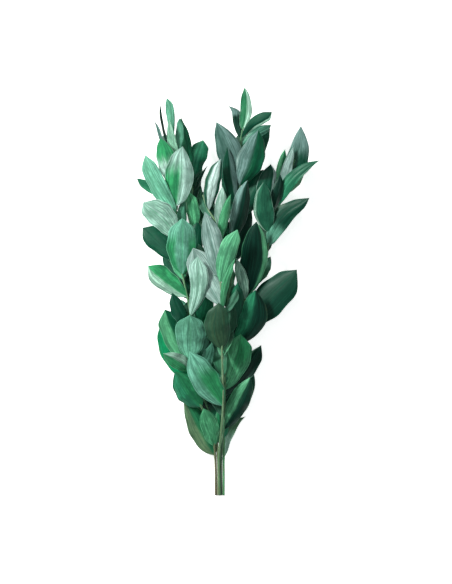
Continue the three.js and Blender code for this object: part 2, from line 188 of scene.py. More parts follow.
STEMS = [
    {
        "name": "stem_left",
        "seed": 11,
        "wood": ("6b6a50", "4f8a5c"),
        "route": [
            (0, -6.2, 1.6), (60, -7.4, 10.5), (108, -13.5, 27), (136, -28.5, 40), (160, -40.5, 49),
            (188, -45, 56), (228, -43.5, 62), (278, -45, 66), (310, -51, 67), (344, -58.5, 66),
            (378, -63, 65), (438, -66, 64), (506, -64.5, 66), (536, -69, 69), (554, -75, 72),
        ],
        "leaves": [
            (435, -58, 525, 44, 34, -6, 16, -0.01, "spring dew tip+right", 0.8),
            (333, -54, 417, 46, 34, 4, 18, -0.01, "spring mist middle+tip"),
            (271, -35, 361, 29, 34, -8, 14, 0.088, "mint dew even", 0.3),
            (206, -45, 273, 46, 34, 2, 14, 0.01, "mint mist even", 0.5),
            (190, -83, 281, 39, 20, 10, 16, 0.01, "pine fresh left", 0.45),
            (172, -87, 262, 38, 10, -8, 14, -0.065, "emerald fresh none"),
            (134, -66, 190, 36, 26, -10, 14, -0.05, "green moss left"),
            (60, -53, 146, 37, 20, 8, 20, -0.01, "green bark left", 0.9),
            (74, -25, 132, 28, 34, 6, 18, 0.03, "spring fresh even"),
            (388, -116, 440, 41, 16, -10, 14, 0.07, "mint dew even", 0.4),
            (300, -108, 345, 33, 12, -6, 16, -0.02, "spring pale left", 0.38),
            (190, -85, 215, 25, 30, -16, 20, 0.03, "spring pale right"),
            (423, -114, 511, 29, 10, -14, 18, -0.03, "mint mist even", 0.45),
            (462, -89, 538, 30, 12, -10, 16, -0.01, "spring frost base"),
            (508, -76, 564, 13, 18, -12, 14, -0.04, "mint pale even", 0.8),
            (514, -61, 568, 13, 10, -4, 14, 0.04, "mint sea even"),
            (540, -77, 598, 13, 6, 0, 12, 0, "mint sea even", 0.36),
            (326, -82, 399, 30, -12, -18, 20, 0.02, "emerald fresh even"),
            (442, -126, 476, 20, -10, 20, 18, 0.04, "teal moss even"),
            (352, -114, 406, 34, -14, 6, 14, 0, "bottle moss none", 0.3),
            (386, -54, 447, 18, -4, 14, 18, None, "green sea even"),
            (250, -72, 306, 24, -10, 18, 16, None, "bottle sea none"),
            (506, -90, 590, 8, -4, 40, 12, -0.09, "night grey none"),
            (490, -97, 567, 6, -10, 40, 12, -0.065, "slate grey even"),
        ],
        "props": [(296, -86, 374, 30, -78, 0, 10, 0.02)],
        "rear": (156, 500, 34, 45),
        "inner": [(150, -26, 206, 26, -14, 0, 14)],
    },
    {
        "name": "stem_left_rear",
        "seed": 23,
        "wood": ("86986e", "4a8259"),
        "route": [
            (0, -2.4, 1.6), (60, -3.4, 8.5), (100, -7.5, 16), (138, -21, 23), (176, -34.5, 29),
            (220, -40.5, 33), (273, -43.5, 36), (318, -45, 38), (352, -46.5, 38), (393, -39, 38),
            (430, -37.5, 38), (468, -42, 40), (498, -45, 44),
        ],
        "leaves": [
            (230, -18, 314, 27, 30, 6, 16, 0.04, "pine moss tip"),
            (400, -46, 458, 21, 26, -10, 14, None, "green fresh even"),
            (474, -26, 536, 28, 8, 8, 18, -0.02, "bottle moss tip", 0.35),
            (494, -60, 569, 21.5, 4, 16, 16, -0.01, "pine moss even"),
            (428, -19, 498, 7, -2, 20, 14, -0.1, "night sea none"),
            (388, -32, 448, 19, 6, 24, 16, -0.03, "bottle sea none"),
            (442, -28, 502, 14, -12, 24, 16, -0.03, "bottle sea none"),
            (182, -20, 240, 20, 28, 10, 18, None, "pine sea tip"),
            (166, -10, 231, 20, 38, 6, 16, None, "teal sea even"),
            (270, -24, 352, 24, 12, 8, 16, None, "bottle sea none"),
            (338, -31, 414, 24, 8, 8, 16, None, "bottle sea none"),
        ],
        "props": [(352, -100, 428, 30, -48, 0, 10, 0.02), (236, -70, 300, 30, -44, 0, 10)],
        "rear": (124, 464, 34, 40),
        "inner": [(96, -30, 156, 26, 2, 0, 14)],
    },
    {
        "name": "stem_middle_left",
        "seed": 37,
        "wood": ("4c7d52", "6f986e"),
        "route": [
            (0, -0.5, 4.95), (60, -1.3, 15.5), (138, 4.5, 44), (220, 3, 76), (296, 3, 84),
            (330, 0, 84), (370, -1.5, 82), (402, 0, 80), (422, -12, 80), (434, -19.5, 80),
            (452, -25.5, 82),
        ],
        "leaves": [
            (136, -44, 218, 42, 44, -8, 14, -0.035, "spring mist left+tip"),
            (327, -22, 426, 32, 26, -8, 14, 0, "slate lilac even"),
            (286, -42, 372, 40, 16, -6, 14, -0.02, "slate frost even", 0.4),
            (321, 26, 400, 28, 24, 8, 16, -0.03, "mint fresh even", 0.5),
            (222, -2, 291, 40, 18, 4, 16, -0.08, "olive moss none", 0.6),
            (402, 4, 464, 18, 24, -4, 12, None, "mint frost even"),
            (429, 0, 506, 24, 16, 6, 20, -0.03, "bottle frost middle"),
            (381, 15, 453, 15, 8, 16, 18, None, "spring fresh even"),
            (278, 22, 358, 12, 8, 20, 18, -0.06, "spring fresh even"),
            (418, -22, 457, 11, 2, 10, 16, None, "night sea none"),
        ],
        "props": [],
        "rear": (120, 430, 30, 60),
        "inner": [],
    },
    {
        "name": "stem_centre",
        "seed": 53,
        "wood": ("2f5c40", "4a8a5e"),
        "route": [
            (0, 1.4, 1.6), (60, 1.8, 12), (116, 6, 24), (250, 9, 50), (296, 12, 56),
            (333, 18, 60), (370, 15, 62), (423, 22.5, 62), (470, 30, 62), (525, 31.5, 64),
            (538, 31.5, 65), (554, 34.5, 66),
        ],
        "leaves": [
            (464, -4, 561, 38, 26, -8, 16, 0.03, "steel grey right", 0.75),
            (474, 43, 533, 17, 32, 10, 14, -0.05, "slate lilac even"),
            (384, 39, 474, 33, 34, -2, 38, None, "night grey left"),
            (466, 57, 548, 37, 30, 8, 16, 0.06, "pine grey left"),
            (243, 27, 322, 24, 24, 12, 16, 0.08, "teal moss left"),
            (549, 37, 614, 18.5, 4, -6, 14, 0.06, "green pale right"),
            (537, 22, 588, 15, 0, 14, 20, -0.01, "night grey point", 0.45),
            (537, 80, 574, 18, 8, 10, 18, -0.11, "bottle pale rightrim", 0.35),
            (524, 78, 556, 16, -2, 16, 16, -0.06, "teal sea even", 0.4),
            (496, 73, 554, 22, -14, 16, 16, 0.07, "bottle moss none"),
            (436, 12, 524, 21, 4, 20, 18, None, "bottle grey right"),
            (424, 6, 496, 20, -6, 22, 16, None, "teal lilac right"),
            (352, 45, 438, 36, -10, 10, 16, None, "night moss left"),
            (418, 64, 492, 34, -8, 12, 16, 0.03, "bottle sea none"),
            (346, 8, 418, 24, 2, 0, 16, 0, "bottle sea none"),
            (72, -6, 148, 16, -4, -10, 14, -0.05, "green fresh left"),
        ],
        "props": [],
        "rear": (154, 506, 32, 40),
        "inner": [(84, 8, 166, 24, 0, 0, 14), (166, -22, 254, 30, -6, 0, 14)],
        "hooks": {6: -11, 7: -4},
    },
    {
        "name": "stem_right",
        "seed": 71,
        "wood": ("4fa267", "3f8052"),
        "route": [
            (0, 5.2, 1.6), (60, 5.6, 9), (159, 7.5, 26), (190, 15, 32), (236, 27, 40),
            (280, 34.5, 46), (300, 39, 48), (318, 48, 50), (348, 63, 52), (374, 72, 53),
            (423, 75, 54), (438, 85.5, 54), (468, 97.5, 56), (506, 112.5, 60),
        ],
        "leaves": [
            (300, 53, 412, 43, 36, 8, 22, 0.05, "night fresh rightrim"),
            (228, 54, 310, 41, 34, 8, 16, 0.12, "night moss left", 0.6),
            (159, 33, 243, 38, 40, 4, 16, 0.05, "spring fresh base+left", 0.38),
            (252, 117, 339, 52, 20, -8, 16, -0.01, "forest moss none"),
            (376, 135, 447, 31, 20, -6, 16, -0.13, "forest sea low"),
            (396, 65, 472, 31, 24, 0, 16, -0.06, "teal pale leftrim"),
            (100, 47, 178, 34, 26, 6, 24, 0.02, "night fresh left"),
            (436, 146, 506, 20, 20, -10, 14, -0.105, "teal moss base", 0.8),
            (466, 122, 556, 34, 14, -4, 16, 0.065, "bottle grey tip", 0.88),
            (446, 110, 525, 16, 16, -2, 16, None, "slate lilac even"),
            (152, 64, 226, 27, 8, -6, 18, None, "night pale leftrim"),
            (56, 34, 121, 15, 10, 12, 16, -0.1, "sage pale base"),
            (296, 24, 358, 18, 16, -8, 16, None, "slate pale even"),
            (422, 79, 499, 29, 6, 12, 16, -0.1, "bottle lilac rightrim", 0.5),
            (480, 131, 529, 18, -4, 12, 16, 0, "pine moss none"),
            (452, 97, 522, 18, -6, 16, 16, None, "green fresh left"),
            (426, 92, 483, 18, -10, 22, 16, None, "night sea none"),
            (106, 51, 190, 36, -6, 14, 16, 0.03, "bottle sea none"),
        ],
        "props": [(366, 98, 440, 24, -60, 0, 10, -0.1), (250, 96, 322, 34, -50, 0, 10, 0.02)],
        "rear": (148, 460, 34, 30),
        "inner": [(186, 24, 272, 26, -8, 0, 14)],
        "hooks": {3: -3, 7: 3, 11: 5},
    },
]
STEM_OF = {stem["name"]: stem for stem in STEMS}

# ---- values that a user may change -----------------------------------------------------------


class RuscusBladeSettings(bpy.types.PropertyGroup):
    """Sizes of the fine leaf blades."""

    rows: IntProperty(name="Rows", description="Steps along a leaf", default=40, min=8, max=80)
    columns: IntProperty(name="Columns", description="Steps across a leaf", default=24, min=8, max=48)
    thickness: FloatProperty(
        name="Thickness",
        description="Blade thickness at the midrib, in metres",
        default=0.5 * MM,
        unit="LENGTH",
    )
    pleat: FloatProperty(
        name="Pleat",
        description="Height of the lengthwise pleats, in metres",
        default=0.19 * MM,
        unit="LENGTH",
    )
    midrib: FloatProperty(
        name="Midrib",
        description="Depth of the groove along the middle, in metres",
        default=0.45 * MM,
        unit="LENGTH",
    )
    ripple: FloatProperty(
        name="Ripple",
        description="Height of the waves along the edge, in metres",
        default=1.3 * MM,
        unit="LENGTH",
    )
    margin: FloatProperty(
        name="Rolled margin",
        description="How far a stretch of an edge rolls over, in metres",
        default=3 * MM,
        unit="LENGTH",
    )
    hook: FloatProperty(
        name="Hook",
        description="How far a tip turns to its side, in metres",
        default=3 * MM,
        unit="LENGTH",
    )
    curl: FloatProperty(
        name="Curl",
        description="How far a tip bends back, in metres",
        default=3 * MM,
        unit="LENGTH",
    )


class RuscusFinishSettings(bpy.types.PropertyGroup):
    """Gloss of the leaves, and the colours of dry edges and cut stems."""

    roughness: FloatProperty(
        name="Roughness",
        description="Roughness of the leaf's face",
        default=0.46,
        subtype="FACTOR",
    )
    sheen: FloatProperty(
        name="Sheen",
        description="Powdery sheen on the leaves",
        default=0.04,
        subtype="FACTOR",
    )
    coat: FloatProperty(
        name="Coat",
        description="Waxy coat on the leaves",
        default=0.04,
        subtype="FACTOR",
    )
    brown: FloatVectorProperty(
        name="Brown",
        description="Tinge of a dried edge",
        default=linear("6a5a3c"),
        subtype="COLOR",
    )
    pith: FloatVectorProperty(
        name="Pith",
        description="Colour inside a cut stem",
        default=linear("b9b184"),
        subtype="COLOR",
    )


class RuscusStageSettings(bpy.types.PropertyGroup):
    """Floor, lights and camera."""

    floor: FloatVectorProperty(
        name="Floor",
        description="Colour of the floor",
        default=(0.93, 0.93, 0.92),
        subtype="COLOR",
    )
    key: FloatProperty(
        name="Key light",
        description="Power of the soft light, upper left",
        default=103,
        unit="POWER",
    )
    fill: FloatProperty(name="Fill", description="Strength of the light from all around", default=0.11)
    glow: FloatProperty(name="Floor glow", description="Light that the floor gives off", default=0.74)
    camera_height: FloatProperty(
        name="Camera height",
        description="Height of the camera above the bunch",
        default=6.0,
        unit="LENGTH",
    )
    frame_height: FloatProperty(
        name="Frame height",
        description="Height of the view at the bunch",
        default=0.876,
        unit="LENGTH",
    )


# ---- draws and curves ------------------------------------------------------------------------

WORD = 0xFFFFFFFF


def seeded_random(seed):
    """Mulberry32: draws numbers from 0 to 1, and the same row of them for the same seed."""
    state = seed

    def draw():
        nonlocal state
        state = (state + 0x6D2B79F5) & WORD
        t = (state ^ (state >> 15)) * (state | 1) & WORD
        t ^= (t + ((t ^ (t >> 7)) * (t | 61) & WORD)) & WORD
        return (t ^ (t >> 14)) / (WORD + 1)

    return draw


def drawn(draw, limits):
    """A drawn value, from its least value and the spread above it."""
    least, spread = limits
    return least + spread * draw()


def unit(vector):
    """The vector, or each one of a grid of them, at a length of 1."""
    return vector / np.linalg.norm(vector, axis=-1, keepdims=True)


def smooth_step(low, high, x):
    """Rises smoothly from 0 at low to 1 at high."""
    t = np.clip((x - low) / (high - low), 0, 1)
    return t * t * (3 - 2 * t)


def hermite(t, start, start_slope, end, end_slope):
    """A smooth step from start to end, with the slopes that it has over the whole step."""
    from_start = (1 + 2 * t) * (1 - t) ** 2 * start + t * (1 - t) ** 2 * start_slope
    return from_start + t * t * (3 - 2 * t) * end + t * t * (t - 1) * end_slope


# ---- the axis of a stem ----------------------------------------------------------------------


def route_slope(route, i, column):
    """Slope of the route's curve at one of its rows, taken from the rows beside it."""
    before = route[max(i - 1, 0)]
    after = route[min(i + 1, len(route) - 1)]
    return (after[column] - before[column]) / (after[0] - before[0])


def route_value(route, y, column):
    """A smooth curve through the rows of the route."""
    i = 0
    while i < len(route) - 2 and route[i + 1][0] < y:
        i += 1
    span = route[i + 1][0] - route[i][0]
    t = (y - route[i][0]) / span
    slope_a = route_slope(route, i, column) * span
    slope_b = route_slope(route, i + 1, column) * span
    return hermite(t, route[i][column], slope_a, route[i + 1][column], slope_b)


def axis_point(stem, y):
    """Point of the stem's axis."""
    return np.array([route_value(stem["route"], y, 1), y, route_value(stem["route"], y, 2)])


def axis_direction(stem, y):
    """Direction of the stem's axis, from foot to tip."""
    last = stem["route"][-1][0]
    ahead = axis_point(stem, min(y + DIRECTION_REACH, last))
    return unit(ahead - axis_point(stem, max(y - DIRECTION_REACH, 0)))


def stem_radius(stem, y):
    """Radius of the solid stem, which thins evenly toward its tip."""
    return STEM_RADIUS_FOOT + (STEM_RADIUS_TIP - STEM_RADIUS_FOOT) * y / stem["route"][-1][0]


# ---- the rule that places the leaves ---------------------------------------------------------


def draw_habit(random):
    """The ways in which no leaf is quite like the next."""
    return {name: drawn(random, limits) for name, limits in HABITS.items()}


def front_leaf(
    stem, random, at, tip_x, tip_y, width, rise, roll, fold, sweep=None, look=None, taper=None
):
    """A leaf of the tables, which faces up."""
    leaf = draw_habit(random)
    if sweep is not None:
        leaf["sweep"] = sweep
    if taper is not None:
        leaf["taper"] = taper
    base = axis_point(stem, at)
    tip = np.array([tip_x, tip_y, base[2] + rise])
    leaf.update(base=base, tip=tip, width=width, roll=roll, fold=fold, look=look)
    leaf["face"] = np.array([0.0, 0.0, 1.0])
    return leaf


def rear_leaf(stem, random, index, y):
    """A leaf of the underside, which faces down and away from the stem."""
    leaf = draw_habit(random)
    limit = stem["rear"][3]
    turn = math.radians((index * GOLDEN_ANGLE + stem["seed"] * SEED_ANGLE) % (2 * limit) - limit)
    spread = math.radians(drawn(random, REAR_ANGLE))
    size = drawn(random, REAR_LENGTH)
    base = axis_point(stem, y)
    radial = np.array([math.sin(turn), 0.0, -math.cos(turn)])
    along = unit(axis_direction(stem, y) * math.cos(spread) + radial * math.sin(spread))
    leaf.update(base=base, tip=base + along * size, width=size * drawn(random, REAR_WIDTH_SHARE))
    leaf.update(roll=drawn(random, REAR_ROLL), fold=drawn(random, REAR_FOLD), face=radial)
    leaf["look"] = HIDDEN_LOOKS[(index * LOOK_STEP + stem["seed"]) % len(HIDDEN_LOOKS)]
    return leaf


def posed(leaf, shrink, rise, roll, arch):
    """The leaf, moved from its wished pose."""
    tip = leaf["base"] + (leaf["tip"] - leaf["base"]) * shrink + np.array([0, 0, rise])
    return {
        **leaf,
        "tip": tip,
        "width": leaf["width"] * shrink,
        "roll": leaf["roll"] + roll,
        "arch": leaf["arch"] + arch,
    }


def outline_at(u, taper):
    """Share of the full width at u, from 0 at the stem to 1 at the tip."""
    widest = BASE_POWER / (BASE_POWER + taper)
    inner = np.clip(u, 0, 1)
    return (inner / widest) ** BASE_POWER * ((1 - inner) / (1 - widest)) ** taper


def blade_surface(leaf, u, v, half, lowest, lift=0.0, shift=0.0, cup=SOLID_CUP):
    """Points of the blade's middle surface.

    u runs from 0 at the stem to 1 at the tip, and v from -1 at one edge to 1 at the other. half is
    half the width, lift and shift move the points outward and sideways, cup is the power by which
    the fold steepens toward the edge, and no point lies below lowest.
    """
    chord = leaf["tip"] - leaf["base"]
    size = np.linalg.norm(chord)
    along = chord / size
    face = unit(leaf["face"] - along * np.dot(leaf["face"], along))
    side = np.cross(along, face)
    roll = np.radians(leaf["roll"] + leaf["twist"] * (u - 0.5))[..., None]
    normal = face * np.cos(roll) + side * np.sin(roll)
    across = side * np.cos(roll) - face * np.sin(roll)
    swell = np.sin(np.pi * u)
    fold = math.radians(leaf["fold"])
    wave = leaf["wave"] * v * np.sin(2 * np.pi * u + leaf["phase"]) * swell
    sideways = leaf["sweep"] * size * swell + v * half * math.cos(fold) + shift
    outward = wave - np.abs(v) ** cup * half * math.sin(fold) + lift
    points = leaf["base"] + chord * u[..., None] + face * (leaf["arch"] * size * swell)[..., None]
    points = points + across * sideways[..., None] + normal * outward[..., None]
    points[..., 2] = np.maximum(points[..., 2], lowest)
    return points


# ---- the pose that the solids have -----------------------------------------------------------

# Places on a blade that are looked for on its solid: both edges and the midrib of each clear row.
TEST_U, TEST_V = (a.ravel() for a in np.meshgrid(CLEAR_ROWS, [-1.0, 0.0, 1.0], indexing="ij"))

# How close to its place each has to be, how many of them have to be found, as a share, and the
# digits by which two corners at one place are known to be the same.
MATCH = 0.02
SHARE_THAT_MATCHES = 0.75
CORNER_DIGITS = 4


def vertex_tree(node):
    """A search tree over a solid's vertices, in the millimetres of the tables above."""
    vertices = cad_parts[node].data.vertices
    flat = np.empty(3 * len(vertices))
    vertices.foreach_get("co", flat)
    corners = np.unique(np.round(flat.reshape(-1, 3) / MM, CORNER_DIGITS), axis=0)
    corners = corners + [CENTRE_X, CENTRE_Y, 0]
    tree = KDTree(len(corners))
    for i, corner in enumerate(corners):
        tree.insert(corner, i)
    tree.balance()
    return tree


def on_solid(tree, point):
    """True if a pair of the solid's vertices, one on each face, has this point between them."""
    near = tree.find_n(point, 2)
    middle = (near[0][0] + near[1][0]) / 2
    return (middle - Vector(point)).length < MATCH


def steps_by_effort():
    """Every step away from a wished pose, as (rise, roll, arch), from the least to the largest."""
    steps = []
    for rise in range(-RISE_STEPS, RISE_STEPS + 1):
        for roll in range(-ROLL_STEPS, ROLL_STEPS + 1):
            for arch in range(-ARCH_STEPS, ARCH_STEPS + 1):
                effort = abs(rise) + ROLL_EFFORT * abs(roll) + ARCH_EFFORT * abs(arch)
                steps.append((effort, rise * RISE_STEP, roll * ROLL_STEP, arch * ARCH_STEP))
    return [step[1:] for step in sorted(steps, key=lambda step: step[0])]


STEPS = steps_by_effort()


def is_carried(leaf, tree):
    """True if the solid carries the leaf in this pose, which its tip alone rules out most times."""
    tip = leaf["tip"].copy()
    tip[2] = max(tip[2], BLADE_THICKNESS / 2)
    if not on_solid(tree, tip):
        return False
    half = leaf["width"] / 2 * outline_at(TEST_U, leaf["taper"])
    points = blade_surface(leaf, TEST_U, TEST_V, half, BLADE_THICKNESS / 2)
    return sum(on_solid(tree, point) for point in points) >= SHARE_THAT_MATCHES * len(points)


def as_built(leaf, tree):
    """The leaf in the pose that its solid has, or None if the solid has no such leaf."""
    for shrink in SHRINKS:
        for step in STEPS:
            candidate = posed(leaf, shrink, *step)
            if is_carried(candidate, tree):
                return candidate
    return None


def leaves_of(stem):
    """The leaves that the stem's solid carries, in their built poses, and the inner ones."""
    tree = vertex_tree(stem["name"])
    random = seeded_random(stem["seed"])
    props = zip(stem["props"], HIDDEN_LOOKS)
    wished = [front_leaf(stem, random, *row, look=look) for row, look in props]
    wished += [front_leaf(stem, random, *row) for row in stem["leaves"]]
    for place, hook in stem.get("hooks", {}).items():
        wished[len(stem["props"]) + place]["hook"] = hook
    built = [as_built(leaf, tree) for leaf in wished]
    if None in built:
        raise RuntimeError(f"{stem['name']}: leaf {built.index(None)} isn't on the solid")
    first, last, step, _ = stem["rear"]
    for index, y in enumerate(range(first, last + 1, step)):
        built.append(as_built(rear_leaf(stem, random, index, y), tree))
    built += [front_leaf(stem, random, *row, look=INNER_SHADE_LOOK) for row in stem["inner"]]
    return [leaf for leaf in built if leaf is not None]


# ---- meshes ----------------------------------------------------------------------------------

# Kinds of values that a mesh keeps for its points, each with the field that holds them.
VECTOR, NUMBER, COLOUR = ("FLOAT_VECTOR", "vector"), ("FLOAT", "value"), ("FLOAT_COLOR", "color")


def add_object(name, data):
    """Puts a mesh, lamp or camera in the scene."""
    thing = bpy.data.objects.new(name, data)
    bpy.context.scene.collection.objects.link(thing)
    return thing


def smooth_object(name, points, faces, materials):
    """A smooth mesh object from points in the millimetres of the tables above."""
    mesh = bpy.data.meshes.new(name)
    shifted = (points - np.array([CENTRE_X, CENTRE_Y, 0])) * MM
    mesh.from_pydata(shifted.tolist(), [], faces)
    mesh.shade_smooth()
    for material in materials:
        mesh.materials.append(material)
    return add_object(name, mesh)


def add_values(mesh, name, kind, values):
    """Keeps one value for each point of the mesh, for its material to read."""
    data_type, field = kind
    attribute = mesh.attributes.new(name, data_type, "POINT")
    attribute.data.foreach_set(field, np.asarray(values, np.float32).ravel())


def attach(piece, stem_name):
    """The piece stands for the stem's solid and moves with it."""
    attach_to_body(piece, "root")
    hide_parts(stem_name)


# ---- fine blades, in millimetres and shares of a blade's length and half width ---------------

# What is added to a stem's seed, so that its fine blades have draws of their own. Below, a pair in
# brackets is a draw: its least value and the spread above it.
BLADE_SEED = 1000

# Spacing: how much of it is even along the blade, and the columns that stand close to its edge.
EVEN_ROWS = 0.65
EDGE_COLUMNS = [0.93, 0.975, 1.0]

# Outline: where the foot ends and the tip begins, how fast the width changes at their far ends,
# and the least half width at the foot and at the tip.
FOOT_TO, FOOT_SLOPE = 0.12, 0.9
TIP_FROM, TIP_SLOPE = 0.8, 1.2
PETIOLE_HALF, TIP_HALF = 0.75, 0.1
SLOPE_STEP = 0.001

# How much wider one side may be, and how much and how often its edge wavers.
EITHER_WAY = (-1, 2)
SIDE_SHARE = 0.09
WAVER = 0.035
WAVER_WAVES = (1.5, 2.5)

# Section: the share of the thickness left at the edge and how late it thins, the thicker petiole,
# the steeper cup, the gentle folds that open a little, and the least distance from the floor.
EDGE_THICKNESS, EDGE_THINNING = 0.4, 4
PETIOLE_THICKNESS, PETIOLE_TO = 0.9, 0.12
FINE_CUP = 2.0
FOLD_SHARE, FOLD_OPENED = 1.2, 7.0
FLOOR_GAP = 0.05

# Relief: pleats, midrib, ripples, rolled margin, curled tip and hooked tip.
PLEAT_WAVES = [1.6, 2.7, 3.9, 6.1]
PLEAT_HEIGHTS = (0.4, 0.9)
PLEAT_BOW, PLEAT_SWAY = 0.8, 0.5
MIDRIB_HALF, MIDRIB_FADE = 1.1, 0.4
RIPPLE_WAVES = (1.4, 2.4)
RIPPLE_HEIGHTS = (0.3, 0.9)
ROLL_MIDDLE = (0.3, 0.5)
ROLL_REACH = (0.16, 0.14)
ROLL_FROM = 0.55
ROLL_HEIGHTS = (-0.7, 1.5)
CURL_HEIGHTS = (-1.1, 1.7)
HOOK_FROM = 0.78

# Colour: the strength of a bloom that is even, joined from two parts or under the leaf, and tint.
# The bloom is partly a painted highlight.
EVEN_BLOOM_AND_HIGHLIGHT = 0.6
JOINED_BLOOM_AND_HIGHLIGHT = 0.8
UNDER_BLOOM_AND_HIGHLIGHT = 0.6
TINT = (0.9, 0.2)
BLADE_VALUES = {"place": VECTOR, "bloom_and_highlight": NUMBER, "under": NUMBER, "dye": COLOUR, "light": COLOUR}


def blade_grid(blade):
    """Places along (u) and across (v) a blade, closer together at its ends and edges."""
    side = (blade.columns - 2 * (len(EDGE_COLUMNS) - 1)) // 2
    inner = np.linspace(0, EDGE_COLUMNS[0], side + 1)
    half_row = np.concatenate([inner, EDGE_COLUMNS[1:]])
    v_row = np.concatenate([-half_row[:0:-1], half_row])
    steps = np.linspace(0, 1, blade.rows + 1)
    u_row = EVEN_ROWS * steps + (1 - EVEN_ROWS) * (1 - np.cos(np.pi * steps)) / 2
    return np.meshgrid(u_row, v_row, indexing="ij")


def grid_faces(rows, columns):
    """Quads of a closed blade: the upper face, the lower face and the rim between them."""
    upper = np.arange(rows * columns).reshape(rows, columns)
    a, b, c, d = upper[:-1, :-1], upper[:-1, 1:], upper[1:, 1:], upper[1:, :-1]
    top = np.stack([a, b, c, d], -1).reshape(-1, 4)
    bottom = top[:, ::-1] + upper.size
    rim = np.concatenate([upper[0, :], upper[1:, -1], upper[-1, -2::-1], upper[-2:0:-1, 0]])
    after = np.roll(rim, -1)
    edge = np.stack([after, rim, rim + upper.size, after + upper.size], -1)
    return np.concatenate([top, bottom, edge])


def outline_slope(u, taper):
    """How fast the outline's width changes at u."""
    change = outline_at(u + SLOPE_STEP, taper) - outline_at(u - SLOPE_STEP, taper)
    return change / (2 * SLOPE_STEP)


def fine_outline(u, taper):
    """The outline with a slim foot and a drawn-out tip."""
    tip_start, foot_end = outline_at(TIP_FROM, taper), outline_at(FOOT_TO, taper)
    length = 1 - TIP_FROM
    tip_slope = outline_slope(TIP_FROM, taper) * length
    tip = hermite((u - TIP_FROM) / length, tip_start, tip_slope, 0, -TIP_SLOPE * tip_start)
    foot_slope = outline_slope(FOOT_TO, taper) * FOOT_TO
    foot = hermite(u / FOOT_TO, 0, FOOT_SLOPE * foot_end, foot_end, foot_slope)
    return np.where(u > TIP_FROM, tip, np.where(u < FOOT_TO, foot, outline_at(u, taper)))


def fine_half(leaf, u, v, draw):
    """Half width of the fine blade: no side is quite like the other."""
    half = leaf["width"] / 2 * fine_outline(u, leaf["taper"])
    half = half * (1 + np.sign(v) * SIDE_SHARE * drawn(draw, EITHER_WAY))
    for side in (-1, 1):
        waves, phase = drawn(draw, WAVER_WAVES), drawn(draw, FULL_TURN)
        waver = WAVER * np.sin(2 * math.pi * waves * u + phase)
        half = half * np.where(side * v > 0, 1 + waver, 1)
    return np.maximum(half, PETIOLE_HALF + (TIP_HALF - PETIOLE_HALF) * u)


def pleats(u, v, draw, height):
    """Lengthwise pleats, from the broad ones to the narrow, which are lower."""
    swell = np.sin(np.pi * u)
    for waves in PLEAT_WAVES:
        phase = drawn(draw, FULL_TURN)
        own_height = height * drawn(draw, PLEAT_HEIGHTS) * PLEAT_WAVES[0] / waves
        bend = PLEAT_BOW * swell + PLEAT_SWAY * np.sin(3 * np.pi * u + phase)
        yield own_height * np.cos(math.pi * waves * v + phase + bend) * np.sqrt(swell)


def ripples(u, v, draw, height):
    """Waves along each edge."""
    for side in (-1, 1):
        waves, phase = drawn(draw, RIPPLE_WAVES), drawn(draw, FULL_TURN)
        own_height = height * drawn(draw, RIPPLE_HEIGHTS)
        edge = np.clip(side * v, 0, 1) ** 3
        yield own_height * edge * np.sin(2 * math.pi * waves * u + phase) * np.sin(np.pi * u)


def rolled_margin(u, v, draw):
    """Where a stretch of one margin rolls over: 1 at the rim, 0 away from it."""
    side = 1 if draw() > 0.5 else -1
    middle, reach = drawn(draw, ROLL_MIDDLE), drawn(draw, ROLL_REACH)
    stretch = np.exp(-(((u - middle) / reach) ** 2))
    return stretch * smooth_step(ROLL_FROM, 1.0, side * v) ** 2


def bent_tip(u, start):
    """How far the tip is bent: 0 up to the start, 1 at the very tip."""
    return np.clip((u - start) / (1 - start), 0, 1) ** 2


def relief_layers(u, v, half, draw, blade):
    """Heights of the blade's pleats, midrib, ripples, rolled margin and curled tip, in turn."""
    yield from pleats(u, v, draw, blade.pleat / MM)
    yield -blade.midrib / MM * np.exp(-((v * half / MIDRIB_HALF) ** 2)) * (1 - u) ** MIDRIB_FADE
    yield from ripples(u, v, draw, blade.ripple / MM)
    rolled = rolled_margin(u, v, draw)
    yield blade.margin / MM * drawn(draw, ROLL_HEIGHTS) * rolled
    yield blade.curl / MM * drawn(draw, CURL_HEIGHTS) * bent_tip(u, TIP_FROM)


def surface_normals(points):
    """Directions that stand on a grid of points."""
    across = np.gradient(points, axis=1)
    along = np.gradient(points, axis=0)
    return unit(np.cross(across, along))


def blade_points(leaf, u, v, draw, blade):
    """Points of the blade's upper face, then those of its lower face."""
    half = fine_half(leaf, u, v, draw)
    relief = sum(relief_layers(u, v, half, draw, blade))
    drawn_hook = blade.hook / MM * drawn(draw, EITHER_WAY)
    shift = leaf.get("hook", drawn_hook) * bent_tip(u, HOOK_FROM)
    opened = {**leaf, "fold": min(leaf["fold"], FOLD_SHARE * leaf["fold"] - FOLD_OPENED)}
    middle = blade_surface(opened, u, v, half, 0, relief, shift, FINE_CUP)
    thickness = blade.thickness / MM * (1 - (1 - EDGE_THICKNESS) * np.abs(v) ** EDGE_THINNING)
    thickness = thickness + PETIOLE_THICKNESS * np.clip(1 - u / PETIOLE_TO, 0, 1)
    offset = surface_normals(middle) * (thickness / 2)[..., None]
    points = np.stack([middle + offset, middle - offset])
    lowest = np.stack([FLOOR_GAP + thickness, FLOOR_GAP + 0 * thickness])
    points[..., 2] = np.maximum(points[..., 2], lowest)
    return points.reshape(-1, 3)
